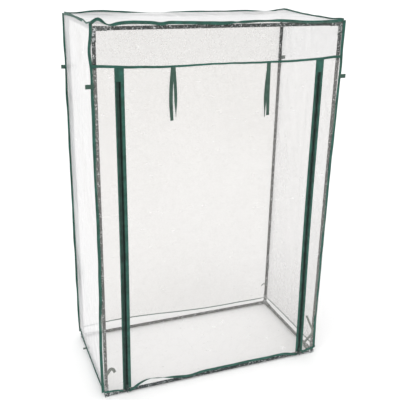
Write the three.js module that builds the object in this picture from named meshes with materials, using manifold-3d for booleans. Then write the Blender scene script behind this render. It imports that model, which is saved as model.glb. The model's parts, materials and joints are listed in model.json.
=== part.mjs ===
// Mini greenhouse: a push-fit frame of steel tubes under a clear film cover with a zipped front door.
// Millimetres, +X to the right, -Y to the front (door side), +Z up.
// The origin is on the ground, under the middle of the frame.
import * as THREE from 'three';
import { mergeVertices } from 'three/addons/utils/BufferGeometryUtils.js';
import Module from 'manifold-3d';

const wasm = await Module();
wasm.setup();

// ---------------------------------------------------------------- driving dimensions
const GAP = 0.3;                    // clearance between pieces that touch

// frame
const FRAME_WIDTH = 986;            // between post centres, left to right
const FRAME_DEPTH = 486;            // between post centres, front to back
const BLOCK_HALF = 9;               // half the side of a connector's corner block
const BASE_Z = BLOCK_HALF;          // centre line of the bottom rails
const TOP_Z = 1509;                 // centre line of the top rails
const TUBE_RADIUS = 7;
const TUBE_WALL = 1;
const TUBE_SIDES = 20;
const SLEEVE_RADIUS = 8.5;
const SLEEVE_LENGTH = 46;           // from the corner point to the sleeve's mouth
const BORE_RADIUS = 7.35;
const BORE_FLOOR = 12;              // from the corner point to the end of the bore
const TUBE_START = BORE_FLOOR + 0.5;
const POST_JOINT_Z = 765;           // where the upper post plugs into the lower one
const SPIGOT_RADIUS = 5.55;
const SPIGOT_LENGTH = 30;

// cover
const FILM = 0.8;                   // film thickness
const FILM_OFFSET = 9.6;            // from the post centres to the film's inner face
const BINDING = 1.4;                // thickness of folded binding tape
const FIN_INNER = 4.5;              // corner binding, from the post centre outward in X
const FIN_OUTER = 15;
const ROOF_CLEARANCE = 1.2;         // from the top connectors to the roof's upper face
const COVER_TOP_Z = TOP_Z + BLOCK_HALF + ROOF_CLEARANCE;
const ROOF_BINDING_HEIGHT = 13;
const COVER_BOTTOM_Z = 26;
const HEM_LOW_Z = 24;
const HEM_HIGH_Z = 36;
const SEAM_Z = 1371;                // the seam that the door hangs from
const SEAM_BINDING_HEIGHT = 10;
const SEAM_BINDING = 2.5;

// door and zips
const ZIPS = {                      // where each zip's centre line meets its two ends
  left: { topX: -408, bottomX: -406 },
  right: { topX: 407, bottomX: 419 },
};
const TAPE_HALF = 17.5;
const COIL_HALF = 3.2;
const COIL_HEIGHT = 2;
const TAPE = 1.2;
const ZIP_LOW_Z = 22;
const ZIP_HIGH_Z = 1324;            // upper end of the coil, where the patch starts
const DOOR_FOLDS = 8;
const DOOR_HALF_WIDTH = 402.5;
const SLIDER_HALF = 6;
const SLIDER_LOW_Z = 25;
const SLIDER_HEIGHT = 19;
const SLIDER_DEPTH = 6;
const PULL_HALF = 3.5;
const PULL_THICKNESS = 2;
const PULL_LOW_Z = 4;
const PULL_HIGH_Z = 34;
const PULL_CLEARANCE = 0.75;         // from the slider's front to the pull

// ties and tabs
const DOOR_TIES = [
  { side: 'left', x: -207, low: 1170 },
  { side: 'right', x: 179, low: 1158 },
];
const TIE_HALF = 8.5;
const TIE_THICKNESS = 1.2;
const TIE_CLEARANCE = 1;            // from the seam's binding to a tie, and from a tie's top to the seam
const TAB_Z = {                     // each tab's middle: they are sewn on by hand, so they differ a little
  front: { left: 1312, right: 1304 },
  rear: { left: 1303, right: 1307 },
};
const TAB_HALF_HEIGHT = 8;
const TAB_REACH_X = 39;             // from the post centre to the tab's free end
const TAB_THICKNESS = 1.8;

// ---------------------------------------------------------------- positions worked out from them
const POST_X = FRAME_WIDTH / 2;
const POST_Y = FRAME_DEPTH / 2;
const FILM_X = POST_X + FILM_OFFSET;
const FILM_Y = POST_Y + FILM_OFFSET;
const FILM_MIDDLE_Y = FILM_Y + FILM / 2;
const FIN_X = POST_X + FIN_INNER;
const FIN_END_X = POST_X + FIN_OUTER;
const FRONT = -(FILM_Y + FILM);     // outer face of the front film

// The centre line of a zip at a height, on the straight line between its two ends.
function zipX(side, z) {
  const { topX, bottomX } = ZIPS[side.name];
  return bottomX + (topX - bottomX) * (z - ZIP_LOW_Z) / (ZIP_HIGH_Z - ZIP_LOW_Z);
}

const SIDES = [
  { name: 'left', sign: -1 },
  { name: 'right', sign: 1 },
];
const ENDS = [
  { name: 'front', sign: -1 },
  { name: 'rear', sign: 1 },
];
const LEVELS = [
  { name: 'bottom', z: BASE_Z, up: 1 },
  { name: 'top', z: TOP_Z, up: -1 },
];

// ---------------------------------------------------------------- materials
const steel = new THREE.MeshStandardMaterial({ color: 0x8d9294, roughness: 0.45, metalness: 0.7 });
const plastic = new THREE.MeshStandardMaterial({ color: 0x4b5153, roughness: 0.6, metalness: 0 });
const film = new THREE.MeshStandardMaterial({
  color: 0xf1f1f0,
  roughness: 0.2,
  metalness: 0,
  transparent: true,
  opacity: 0.25,
});
const bindingTape = new THREE.MeshStandardMaterial({ color: 0x38705f, roughness: 0.8, metalness: 0 });
const zipTape = new THREE.MeshStandardMaterial({ color: 0x245448, roughness: 0.8, metalness: 0 });
const zipMetal = new THREE.MeshStandardMaterial({ color: 0x1f3f38, roughness: 0.4, metalness: 0.5 });
const strap = new THREE.MeshStandardMaterial({ color: 0x3f6a5b, roughness: 0.85, metalness: 0 });

// ---------------------------------------------------------------- shape helpers
const greenhouse = new THREE.Group();

function addPiece(name, geometry, material) {
  const mesh = new THREE.Mesh(geometry, material);
  mesh.name = name;
  greenhouse.add(mesh);
  return mesh;
}

// A box between two corners given in any order.
function box(a, b) {
  const size = a.map((value, axis) => Math.abs(b[axis] - value));
  const geometry = new THREE.BoxGeometry(...size);
  geometry.translate(...a.map((value, axis) => (value + b[axis]) / 2));
  return geometry;
}

function addBox(name, a, b, material) {
  return addPiece(name, box(a, b), material);
}

function toSolid(geometry) {
  const bare = geometry.clone();
  bare.deleteAttribute('normal');
  bare.deleteAttribute('uv');
  const merged = mergeVertices(bare, 1e-4);
  const mesh = new wasm.Mesh({
    numProp: 3,
    vertProperties: new Float32Array(merged.attributes.position.array),
    triVerts: new Uint32Array(merged.index.array),
  });
  mesh.merge();
  return new wasm.Manifold(mesh);
}

function toGeometry(solid) {
  const mesh = solid.getMesh();
  const geometry = new THREE.BufferGeometry();
  geometry.setAttribute('position', new THREE.BufferAttribute(mesh.vertProperties, 3));
  geometry.setIndex(new THREE.BufferAttribute(mesh.triVerts, 1));
  geometry.computeVertexNormals();
  return geometry;
}

// Turns a shape made along +Y so that it runs along another axis.
function turnTo(geometry, axis, sign) {
  if (axis === 'x') {
    geometry.rotateZ(-sign * Math.PI / 2);
  } else if (axis === 'z') {
    geometry.rotateX(sign * Math.PI / 2);
  } else if (sign < 0) {
    geometry.rotateX(Math.PI);
  }
  return geometry;
}

// A cylinder from one distance to another out from the corner point, along one axis.
function rod(radius, from, to, axis, sign) {
  const geometry = new THREE.CylinderGeometry(radius, radius, to - from, TUBE_SIDES);
  geometry.translate(0, (from + to) / 2, 0);
  return turnTo(geometry, axis, sign);
}

// A round hollow tube as one closed turned profile, from -length/2 to length/2 along +Y.
function tube(length) {
  const inner = TUBE_RADIUS - TUBE_WALL;
  const half = length / 2;
  const profile = [
    [inner, -half],
    [TUBE_RADIUS, -half],
    [TUBE_RADIUS, half],
    [inner, half],
    [inner, -half],
  ];
  return new THREE.LatheGeometry(profile.map(([r, y]) => new THREE.Vector2(r, y)), TUBE_SIDES);
}

// The same tube with a narrowed spigot below it that plugs into the next tube.
function tubeWithSpigot(length) {
  const inner = TUBE_RADIUS - TUBE_WALL;
  const spigotInner = SPIGOT_RADIUS - TUBE_WALL;
  const half = length / 2;
  const profile = [
    [spigotInner, -half - SPIGOT_LENGTH],
    [SPIGOT_RADIUS, -half - SPIGOT_LENGTH],
    [SPIGOT_RADIUS, -half],
    [TUBE_RADIUS, -half + 1],
    [TUBE_RADIUS, half],
    [inner, half],
    [inner, -half + 2],
    [spigotInner, -half + 1],
    [spigotInner, -half - SPIGOT_LENGTH],
  ];
  return new THREE.LatheGeometry(profile.map(([r, y]) => new THREE.Vector2(r, y)), TUBE_SIDES);
}

// A flat outline in X and Z, given as points, thickened from one Y to a lower one.
function standing(points, yBack, yFront) {
  const shape = new THREE.Shape(points.map(([x, z]) => new THREE.Vector2(x, z)));
  const geometry = new THREE.ExtrudeGeometry(shape, { depth: yBack - yFront, bevelEnabled: false });
  geometry.rotateX(Math.PI / 2);
  geometry.translate(0, yBack, 0);
  return geometry;
}

// A flat outline in X and Y, given as points, raised between two heights.
function raised(points, lowZ, highZ) {
  const shape = new THREE.Shape(points.map(([x, y]) => new THREE.Vector2(x, y)));
  const geometry = new THREE.ExtrudeGeometry(shape, { depth: highZ - lowZ, bevelEnabled: false });
  geometry.translate(0, 0, lowZ);
  return geometry;
}

// A strip seen from the front that follows a zip, from one distance beside its centre line to another.
function besideZip(side, from, to, lowZ, highZ, yBack, yFront) {
  return standing(
    [
      [zipX(side, lowZ) + from, lowZ],
      [zipX(side, lowZ) + to, lowZ],
      [zipX(side, highZ) + to, highZ],
      [zipX(side, highZ) + from, highZ],
    ],
    yBack,
    yFront,
  );
}

// ---------------------------------------------------------------- frame
// A moulded corner: a square block with three sleeves that the tubes push into.
function connector(xSign, ySign, zSign) {
  const arms = [['x', xSign], ['y', ySign], ['z', zSign]];
  const block = [BLOCK_HALF, BLOCK_HALF, BLOCK_HALF];
  let solid = toSolid(box(block.map((value) => -value), block));
  for (const [axis, sign] of arms) {
    solid = solid.add(toSolid(rod(SLEEVE_RADIUS, 0, SLEEVE_LENGTH, axis, sign)));
  }
  for (const [axis, sign] of arms) {
    solid = solid.subtract(toSolid(rod(BORE_RADIUS, BORE_FLOOR, SLEEVE_LENGTH + 1, axis, sign)));
  }
  return toGeometry(solid);
}

for (const level of LEVELS) {
  for (const end of ENDS) {
    for (const side of SIDES) {
      const geometry = connector(-side.sign, -end.sign, level.up);
      const corner = addPiece(`connector_${level.name}_${end.name}_${side.name}`, geometry, plastic);
      corner.position.set(side.sign * POST_X, end.sign * POST_Y, level.z);
    }
  }
}

for (const level of LEVELS) {
  for (const end of ENDS) {
    const rail = addPiece(
      `rail_${level.name}_${end.name}`,
      turnTo(tube(FRAME_WIDTH - 2 * TUBE_START), 'x', 1),
      steel,
    );
    rail.position.set(0, end.sign * POST_Y, level.z);
  }
  for (const side of SIDES) {
    const rail = addPiece(`rail_${level.name}_${side.name}`, tube(FRAME_DEPTH - 2 * TUBE_START), steel);
    rail.position.set(side.sign * POST_X, 0, level.z);
  }
}

for (const end of ENDS) {
  for (const side of SIDES) {
    const lowerStart = BASE_Z + TUBE_START;
    const lower = addPiece(
      `post_lower_${end.name}_${side.name}`,
      turnTo(tube(POST_JOINT_Z - GAP - lowerStart), 'z', 1),
      steel,
    );
    lower.position.set(side.sign * POST_X, end.sign * POST_Y, (POST_JOINT_Z - GAP + lowerStart) / 2);
    const upperEnd = TOP_Z - TUBE_START;
    const upper = addPiece(
      `post_upper_${end.name}_${side.name}`,
      turnTo(tubeWithSpigot(upperEnd - POST_JOINT_Z), 'z', 1),
      steel,
    );
    upper.position.set(side.sign * POST_X, end.sign * POST_Y, (POST_JOINT_Z + upperEnd) / 2);
  }
}

// ---------------------------------------------------------------- fixed film panels
const panelEndX = FIN_X - GAP;
const sidePanelY = POST_Y + FILM_OFFSET - 2 * GAP;
const roofX = POST_X + FILM_OFFSET - 2 * GAP;
const roofLowZ = COVER_TOP_Z - FILM;

addBox('film_roof', [-roofX, -sidePanelY, roofLowZ], [roofX, sidePanelY, COVER_TOP_Z], film);
addBox(
  'film_rear',
  [-panelEndX, FILM_Y, COVER_BOTTOM_Z],
  [panelEndX, FILM_Y + FILM, COVER_TOP_Z],
  film,
);
for (const side of SIDES) {
  addBox(
    `film_${side.name}`,
    [side.sign * FILM_X, -sidePanelY, COVER_BOTTOM_Z],
    [side.sign * (FILM_X + FILM), sidePanelY, COVER_TOP_Z],
    film,
  );
}
addBox('film_header', [-panelEndX, -FILM_Y, SEAM_Z + GAP], [panelEndX, FRONT, COVER_TOP_Z], film);
for (const side of SIDES) {
  const tapeEdge = side.sign * (TAPE_HALF + GAP);
  const highZ = SEAM_Z - GAP;
  const outline = [
    [zipX(side, COVER_BOTTOM_Z) + tapeEdge, COVER_BOTTOM_Z],
    [side.sign * panelEndX, COVER_BOTTOM_Z],
    [side.sign * panelEndX, highZ],
    [zipX(side, highZ) + tapeEdge, highZ],
  ];
  addPiece(`film_jamb_${side.name}`, standing(outline, -FILM_Y, FRONT), film);
}

// ---------------------------------------------------------------- bindings
// The roof's edge stands up as a fin all round.
function roofBinding() {
  const outerX = FILM_X + FILM / 2 + BINDING / 2;
  const outerY = FILM_MIDDLE_Y + BINDING / 2;
  const lowZ = COVER_TOP_Z + GAP;
  const outer = toSolid(box([-outerX, -outerY, lowZ], [outerX, outerY, lowZ + ROOF_BINDING_HEIGHT]));
  const innerX = outerX - BINDING;
  const innerY = outerY - BINDING;
  const inner = box([-innerX, -innerY, lowZ - 1], [innerX, innerY, lowZ + ROOF_BINDING_HEIGHT + 1]);
  return toGeometry(outer.subtract(toSolid(inner)));
}

// The hem runs round the cover's foot from one zip to the other and leaves the door free.
function hemBinding() {
  const innerX = FILM_X + FILM + GAP;
  const innerY = FILM_Y + FILM + GAP;
  const outerX = innerX + BINDING;
  const outerY = innerY + BINDING;
  const [startLeft, startRight] = SIDES.map(
    (side) => zipX(side, ZIP_LOW_Z) + side.sign * (TAPE_HALF + 2 * GAP),
  );
  const outline = [
    [startLeft, -innerY],
    [startLeft, -outerY],
    [-outerX, -outerY],
    [-outerX, outerY],
    [outerX, outerY],
    [outerX, -outerY],
    [startRight, -outerY],
    [startRight, -innerY],
    [innerX, -innerY],
    [innerX, innerY],
    [-innerX, innerY],
    [-innerX, -innerY],
  ];
  return raised(outline, HEM_LOW_Z, HEM_HIGH_Z);
}

addPiece('binding_roof', roofBinding(), bindingTape);
addPiece('binding_hem', hemBinding(), bindingTape);
addBox(
  'binding_header',
  [-panelEndX, FRONT - GAP, SEAM_Z + GAP],
  [panelEndX, FRONT - GAP - SEAM_BINDING, SEAM_Z + GAP + SEAM_BINDING_HEIGHT],
  bindingTape,
);
for (const end of ENDS) {
  for (const side of SIDES) {
    addBox(
      `binding_corner_${end.name}_${side.name}`,
      [side.sign * FIN_X, end.sign * (FILM_MIDDLE_Y - BINDING / 2), HEM_HIGH_Z + GAP],
      [side.sign * FIN_END_X, end.sign * (FILM_MIDDLE_Y + BINDING / 2), COVER_TOP_Z],
      bindingTape,
    );
  }
}

// ---------------------------------------------------------------- zips
// The jamb's half of the tape with the closed coil, and the patch that covers the upper end.
function zipTapeGeometry(side) {
  const front = -FILM_Y - TAPE;
  const outer = side.sign * TAPE_HALF;
  const inner = -side.sign * COIL_HALF;
  const highZ = SEAM_Z - GAP;
  const tape = besideZip(side, inner, outer, ZIP_LOW_Z, highZ, -FILM_Y, front);
  const coil = besideZip(
    side, -COIL_HALF, COIL_HALF, ZIP_LOW_Z, ZIP_HIGH_Z, -FILM_Y - TAPE / 2, front - COIL_HEIGHT,
  );
  const patch = besideZip(
    side, -TAPE_HALF, TAPE_HALF, ZIP_HIGH_Z + 1, highZ, FRONT - GAP, FRONT - GAP - COIL_HEIGHT,
  );
  return toGeometry(toSolid(tape).add(toSolid(coil)).add(toSolid(patch)));
}

const coilFront = -FILM_Y - TAPE - COIL_HEIGHT;
const sliderBack = -FILM_Y - TAPE - GAP;
const sliderFront = sliderBack - SLIDER_DEPTH;

// The slider straddles the coil like a saddle.
function sliderGeometry(x) {
  const highZ = SLIDER_LOW_Z + SLIDER_HEIGHT;
  const body = box([x - SLIDER_HALF, sliderBack, SLIDER_LOW_Z], [x + SLIDER_HALF, sliderFront, highZ]);
  const channelHalf = COIL_HALF + 2 * GAP;
  const channel = box(
    [x - channelHalf, sliderBack + 1, SLIDER_LOW_Z - 1],
    [x + channelHalf, coilFront - GAP, highZ + 1],
  );
  return toGeometry(toSolid(body).subtract(toSolid(channel)));
}

const pullBack = sliderFront - PULL_CLEARANCE;
const pullFront = pullBack - PULL_THICKNESS;

for (const side of SIDES) {
  const sliderX = zipX(side, SLIDER_LOW_Z + SLIDER_HEIGHT / 2);
  addPiece(`zip_tape_${side.name}`, zipTapeGeometry(side), zipTape);
  addPiece(`zip_slider_${side.name}`, sliderGeometry(sliderX), zipMetal);
  addBox(
    `zip_pull_${side.name}`,
    [sliderX - PULL_HALF, pullBack, PULL_LOW_Z],
    [sliderX + PULL_HALF, pullFront, PULL_HIGH_Z],
    zipMetal,
  );
}

// ---------------------------------------------------------------- door, in folds hung one below the other
const foldPitch = (SEAM_Z - COVER_BOTTOM_Z) / DOOR_FOLDS;
for (let fold = 0; fold < DOOR_FOLDS; fold += 1) {
  const highZ = SEAM_Z - fold * foldPitch;
  addBox(
    `door_fold_${fold + 1}`,
    [-DOOR_HALF_WIDTH, -FILM_Y, highZ - foldPitch + GAP],
    [DOOR_HALF_WIDTH, FRONT, highZ - GAP],
    film,
  );
}
const doorHemX = DOOR_HALF_WIDTH - SLIDER_HALF;
addBox(
  'door_hem',
  [-doorHemX, FRONT - GAP, HEM_LOW_Z],
  [doorHemX, FRONT - GAP - BINDING, HEM_HIGH_Z],
  bindingTape,
);

// ---------------------------------------------------------------- door ties and corner tabs
const tieBack = FRONT - GAP - SEAM_BINDING - TIE_CLEARANCE;
for (const tie of DOOR_TIES) {
  addBox(
    `door_tie_${tie.side}`,
    [tie.x - TIE_HALF, tieBack, tie.low],
    [tie.x + TIE_HALF, tieBack - TIE_THICKNESS, SEAM_Z - TIE_CLEARANCE],
    strap,
  );
}

// A front tab points straight out to the side; a rear one leans back as far as the zip pulls stand forward.
const tabReachY = Math.abs(pullFront);
for (const end of ENDS) {
  for (const side of SIDES) {
    const startX = side.sign * (FIN_END_X + GAP);
    const endX = side.sign * (POST_X + TAB_REACH_X);
    const startY = end.sign * (FILM_MIDDLE_Y + TAB_THICKNESS / 2);
    const endY = end.sign > 0 ? tabReachY : startY;
    const inward = -end.sign * TAB_THICKNESS;
    const outline = [
      [startX, startY],
      [endX, endY],
      [endX, endY + inward],
      [startX, startY + inward],
    ];
    const middleZ = TAB_Z[end.name][side.name];
    addPiece(
      `corner_tab_${end.name}_${side.name}`,
      raised(outline, middleZ - TAB_HALF_HEIGHT, middleZ + TAB_HALF_HEIGHT),
      strap,
    );
  }
}

export default greenhouse;
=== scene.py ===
import json
import math

import bmesh
import bpy
import numpy as np
from mathutils import Matrix, Vector


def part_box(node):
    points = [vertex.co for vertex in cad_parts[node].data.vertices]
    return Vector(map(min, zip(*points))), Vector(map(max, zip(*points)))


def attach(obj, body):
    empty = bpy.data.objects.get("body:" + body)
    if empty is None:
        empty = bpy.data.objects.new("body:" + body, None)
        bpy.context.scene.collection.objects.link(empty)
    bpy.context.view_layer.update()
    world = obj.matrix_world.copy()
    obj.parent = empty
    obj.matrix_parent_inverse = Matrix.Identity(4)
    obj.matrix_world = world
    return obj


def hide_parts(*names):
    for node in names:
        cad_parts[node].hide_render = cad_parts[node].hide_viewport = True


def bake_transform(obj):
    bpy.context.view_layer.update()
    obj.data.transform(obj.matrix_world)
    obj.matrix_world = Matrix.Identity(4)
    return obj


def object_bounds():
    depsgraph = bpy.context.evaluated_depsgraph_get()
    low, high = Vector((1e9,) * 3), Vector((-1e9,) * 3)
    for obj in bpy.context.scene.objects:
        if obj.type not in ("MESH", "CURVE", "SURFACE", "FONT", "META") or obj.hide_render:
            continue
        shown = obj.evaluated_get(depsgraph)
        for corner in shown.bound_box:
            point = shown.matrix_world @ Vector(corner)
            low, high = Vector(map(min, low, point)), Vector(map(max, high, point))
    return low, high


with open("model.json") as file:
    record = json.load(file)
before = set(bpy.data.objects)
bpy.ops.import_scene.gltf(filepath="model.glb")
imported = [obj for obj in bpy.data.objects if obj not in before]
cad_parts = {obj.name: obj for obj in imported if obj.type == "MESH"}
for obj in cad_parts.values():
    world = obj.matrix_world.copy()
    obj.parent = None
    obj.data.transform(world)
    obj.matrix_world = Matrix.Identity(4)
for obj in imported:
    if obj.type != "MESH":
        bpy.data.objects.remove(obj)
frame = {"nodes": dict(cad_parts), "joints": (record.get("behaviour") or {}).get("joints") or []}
cad_low, cad_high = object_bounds()

# ---- places taken from the frame
MM = 0.001
SIDES = {"left": -1, "right": 1}
ENDS = {"front": -1, "rear": 1}
CORNERS = [(end, side) for end in ENDS for side in SIDES]
JOINTS = {joint["name"]: joint for joint in frame["joints"]}
FOLDS = sum(name.startswith("door_hinge_") for name in JOINTS)
SEAM_Z = JOINTS["door_hinge_1"]["pos_m"][2]
FOLD_PITCH = SEAM_Z - JOINTS["door_hinge_2"]["pos_m"][2]
DOOR_BOTTOM_Z = SEAM_Z - FOLDS * FOLD_PITCH


def middle(node):
    low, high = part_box(node)
    return (low + high) / 2


def corners(node):
    """A CAD node's lowest and highest corners, as arrays."""
    return [np.array(corner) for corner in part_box(node)]


POST_X = middle("post_lower_front_right").x
POST_Y = middle("post_lower_rear_left").y
TUBE_RADIUS = (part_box("rail_bottom_front")[1].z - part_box("rail_bottom_front")[0].z) / 2
BASE_Z = middle("rail_bottom_front").z
TOP_Z = middle("rail_top_front").z
FILM_X = middle("film_right").x
FILM_Y = middle("film_rear").y
ROOF_Z = middle("film_roof").z
PATCH_LOW_Z = SEAM_Z - 46 * MM
TAPE_BOTTOM_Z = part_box("zip_tape_left")[0].z
X_AXIS, Y_AXIS, Z_AXIS = np.eye(3)


# ---- camera and light
CAMERA_AZIMUTH = math.radians(-21.6)
CAMERA_ELEVATION = math.radians(20.5)
CAMERA_ROLL = math.radians(1.15)
CAMERA_DISTANCE = 2.894
CAMERA_AIM = Vector((0.009, 0.000, -0.028))  # from the middle of the CAD box
CAMERA_LENS = 59.0


def make_camera():
    side, rise = math.sin(CAMERA_AZIMUTH), math.sin(CAMERA_ELEVATION)
    level = math.cos(CAMERA_ELEVATION)
    forward = Vector((-side * level, math.cos(CAMERA_AZIMUTH) * level, -rise))
    right = Vector((math.cos(CAMERA_AZIMUTH), side, 0))
    up = right.cross(forward)
    turned_right = right * math.cos(CAMERA_ROLL) + up * math.sin(CAMERA_ROLL)
    turned_up = up * math.cos(CAMERA_ROLL) - right * math.sin(CAMERA_ROLL)
    place = (cad_low + cad_high) / 2 + CAMERA_AIM - forward * CAMERA_DISTANCE
    data = bpy.data.cameras.new("camera")
    data.lens = CAMERA_LENS
    camera = bpy.data.objects.new("camera", data)
    bpy.context.scene.collection.objects.link(camera)
    turn = Matrix((turned_right, turned_up, -forward)).transposed()
    camera.matrix_world = Matrix.Translation(place) @ turn.to_4x4()
    bpy.context.scene.camera = camera


def add_sun(strength, direction, angle):
    data = bpy.data.lights.new("key", "SUN")
    data.energy = strength
    data.angle = math.radians(angle)
    sun = bpy.data.objects.new("key", data)
    bpy.context.scene.collection.objects.link(sun)
    sun.rotation_mode = "QUATERNION"
    sun.rotation_quaternion = Vector(direction).to_track_quat("-Z", "Y")


def make_studio():
    scene = bpy.context.scene
    scene.view_settings.view_transform = "Standard"
    scene.cycles.transparent_max_bounces = 32
    world = bpy.data.worlds.new("studio")
    world.use_nodes = True
    background = world.node_tree.nodes["Background"]
    background.inputs["Color"].default_value = (1.0, 1.0, 1.0, 1)
    background.inputs["Strength"].default_value = 0.97
    scene.world = world
    add_sun(0.87, (1.2, 1.6, -2.6), 50)
    floor_data = bpy.data.meshes.new("floor")
    half = 30.0
    square = [(-half, -half, 0), (half, -half, 0), (half, half, 0), (-half, half, 0)]
    floor_data.from_pydata(square, [], [(0, 1, 2, 3)])
    floor = bpy.data.objects.new("floor", floor_data)
    floor.location.z = -0.5 * MM
    scene.collection.objects.link(floor)
    floor_data.materials.append(floor_material())


# ---- materials
class Nodes:
    """A material under construction: one Principled shader, and short calls for the nodes that feed it."""

    def __init__(self, name, **settings):
        self.material = bpy.data.materials.new(name)
        self.material.use_nodes = True
        self.tree = self.material.node_tree
        self.shader = self.tree.nodes["Principled BSDF"]
        for key, value in settings.items():
            self.shader.inputs[key.replace("_", " ")].default_value = value

    def add(self, kind, inputs=None, **settings):
        node = self.tree.nodes.new("ShaderNode" + kind)
        for key, value in settings.items():
            setattr(node, key, value)
        for key, value in (inputs or {}).items():
            if isinstance(value, bpy.types.NodeSocket):
                self.tree.links.new(value, node.inputs[key])
            else:
                node.inputs[key].default_value = value
        return node

    def feed(self, key, socket):
        self.tree.links.new(socket, self.shader.inputs[key])

    def place(self, stretch=(1, 1, 1)):
        """The point on the object, in metres, stretched along each axis."""
        coordinates = self.add("TexCoord").outputs["Object"]
        return self.add("Mapping", {"Vector": coordinates, "Scale": stretch}).outputs["Vector"]

    def noise(self, where, scale, detail=3.0, roughness=0.55):
        inputs = {"Vector": where, "Scale": scale, "Detail": detail, "Roughness": roughness}
        return self.add("TexNoise", inputs).outputs["Fac"]

    def ramp(self, socket, stops):
        """Colours or grey levels along a value, as (position, value) pairs."""
        node = self.add("ValToRGB", {"Fac": socket})
        elements = node.color_ramp.elements
        while len(elements) < len(stops):
            elements.new(0.5)
        for element, (position, value) in zip(elements, stops):
            element.position = position
            element.color = (*value, 1) if isinstance(value, tuple) else (value, value, value, 1)
        return node.outputs["Color"]

    def maths(self, operation, a, b=0.5, c=0.0):
        return self.add("Math", {0: a, 1: b, 2: c}, operation=operation).outputs[0]

    def mix(self, share, a, b):
        a, b = ((*colour, 1) if isinstance(colour, tuple) else colour for colour in (a, b))
        return self.add("MixRGB", {"Fac": share, "Color1": a, "Color2": b}).outputs["Color"]

    def bump(self, height, strength, distance):
        node = self.add("Bump", {"Height": height, "Strength": strength, "Distance": distance})
        self.feed("Normal", node.outputs["Normal"])

    def weave(self, pitch):
        """A plain weave's height, from the piece's own map: warp and weft ribs that pass over each other."""
        source = self.add("UVMap", uv_map="cloth").outputs["UV"]
        split = self.add("SeparateXYZ", {"Vector": source})
        weft, warp = (
            self.maths("SINE", self.maths("MULTIPLY", split.outputs[axis], 2 * math.pi / pitch))
            for axis in "XY"
        )
        return self.maths("MULTIPLY_ADD", self.maths("MULTIPLY", warp, weft), 0.5, 0.5)


def floor_material():
    return Nodes("floor", Roughness=0.7, Base_Color=(0.96, 0.96, 0.96, 1), Specular_IOR_Level=0.1).material


def film_material(name, tint, least, spread, rise=0.0, rough=0.22, crinkled=0.5):
    """Clear soft film: nearly invisible, with a faint haze and creases, and sparse white streaks that are
    painted glints.

    Its haze hides from least to least + spread of what is behind, and rise more at the cover's top. At a
    slant it turns glossy and hides more.
    """
    nodes = Nodes(name, Roughness=rough, IOR=1.45)
    where = nodes.place()
    haze = nodes.noise(where, 3.0, 2.0)
    stretched = nodes.noise(nodes.place((5.0, 5.0, 16.0)), 4.5, 5.0, 0.6)
    # Painted glints: sparse white streaks mixed into the colour, and made more opaque.
    painted_glints = nodes.ramp(stretched, [(0.66, 0.0), (0.72, 1.0)])
    crinkle = nodes.noise(where, 22.0, 6.0, 0.62)
    ridges = nodes.ramp(crinkle, [(0.47, 0.0), (0.5, 1.0), (0.53, 0.0)])
    height = nodes.maths("DIVIDE", nodes.add("SeparateXYZ", {"Vector": where}).outputs["Z"], ROOF_Z)
    risen = nodes.maths("POWER", nodes.maths("MAXIMUM", height, 0.0), 0.6)
    steady = nodes.maths("MULTIPLY_ADD", risen, rise, least)
    clouded = nodes.maths("MULTIPLY_ADD", haze, spread, steady)
    facing = nodes.add("LayerWeight", {"Blend": 0.5}).outputs["Facing"]
    gloss = nodes.maths("MULTIPLY", nodes.maths("POWER", facing, 3.0), 1.1)
    hidden = nodes.maths("ADD", clouded, gloss)
    shone = nodes.mix(nodes.maths("DIVIDE", gloss, hidden), tint, (0.86, 0.86, 0.87))
    painted_glint_share = nodes.maths("MULTIPLY", painted_glints, 0.9)
    nodes.feed("Base Color", nodes.mix(painted_glint_share, shone, (0.95, 0.95, 0.94)))
    creased = nodes.maths("MULTIPLY_ADD", ridges, 0.035, hidden)
    nodes.feed("Alpha", nodes.maths("MULTIPLY_ADD", painted_glints, 0.16, creased))
    nodes.bump(crinkle, crinkled, 4 * MM)
    return nodes.material


def woven_material(name, shade, light, pitch, sheen, sheen_patch_scale=38.0):
    """Woven polyester tape: ribs, patches of painted sheen that mix its shaded tone towards its lit tone, and
    a lighter bloom where it is rubbed.
    """
    nodes = Nodes(name, Roughness=0.82, Sheen_Weight=sheen, Sheen_Roughness=0.5)
    weave = nodes.weave(pitch)
    where = nodes.place()
    # Painted sheen: lighter patches between the tape's shade and light tones.
    painted_sheen_patches = nodes.ramp(nodes.noise(where, sheen_patch_scale, 4.0), [(0.36, 0.0), (0.66, 1.0)])
    rubbed = nodes.ramp(nodes.noise(where, 210.0, 3.0, 0.7), [(0.6, 0.0), (0.74, 1.0)])
    base = nodes.mix(painted_sheen_patches, shade, light)
    bloom = nodes.mix(nodes.maths("MULTIPLY", rubbed, 0.4), base, tuple(c * 1.9 + 0.02 for c in light))
    nodes.feed("Base Color", nodes.mix(nodes.maths("MULTIPLY", weave, 0.35), bloom, shade))
    nodes.bump(weave, 0.6, 0.4 * MM)
    return nodes.material


def tube_material():
    """Grey hammered powder coat on steel: light and dark flecks under a satin skin. Its dark tones are
    darkened as painted shade, and its near-white flecks are painted glints.
    """
    nodes = Nodes("steel_tube", Metallic=0.35, Coat_Weight=0.25, Coat_Roughness=0.2)
    where = nodes.place()
    flecks_and_glints = nodes.noise(where, 170.0, 4.0, 0.7)
    # Painted shade and glints: the dark stops are darker than the grey coat, and the near-white stop stands
    # for glints.
    dark = [(0.44, (0.008, 0.015, 0.016)), (0.53, (0.026, 0.036, 0.038))]
    light = [(0.58, (0.16, 0.18, 0.18)), (0.64, (0.88, 0.90, 0.90))]
    slow = nodes.maths("MULTIPLY", nodes.noise(where, 14.0, 3.0), 0.25)
    nodes.feed("Base Color", nodes.mix(slow, nodes.ramp(flecks_and_glints, dark + light), (0.03, 0.042, 0.044)))
    nodes.feed("Roughness", nodes.ramp(flecks_and_glints, [(0.4, 0.55), (0.7, 0.3)]))
    nodes.bump(flecks_and_glints, 0.35, 0.5 * MM)
    return nodes.material


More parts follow.
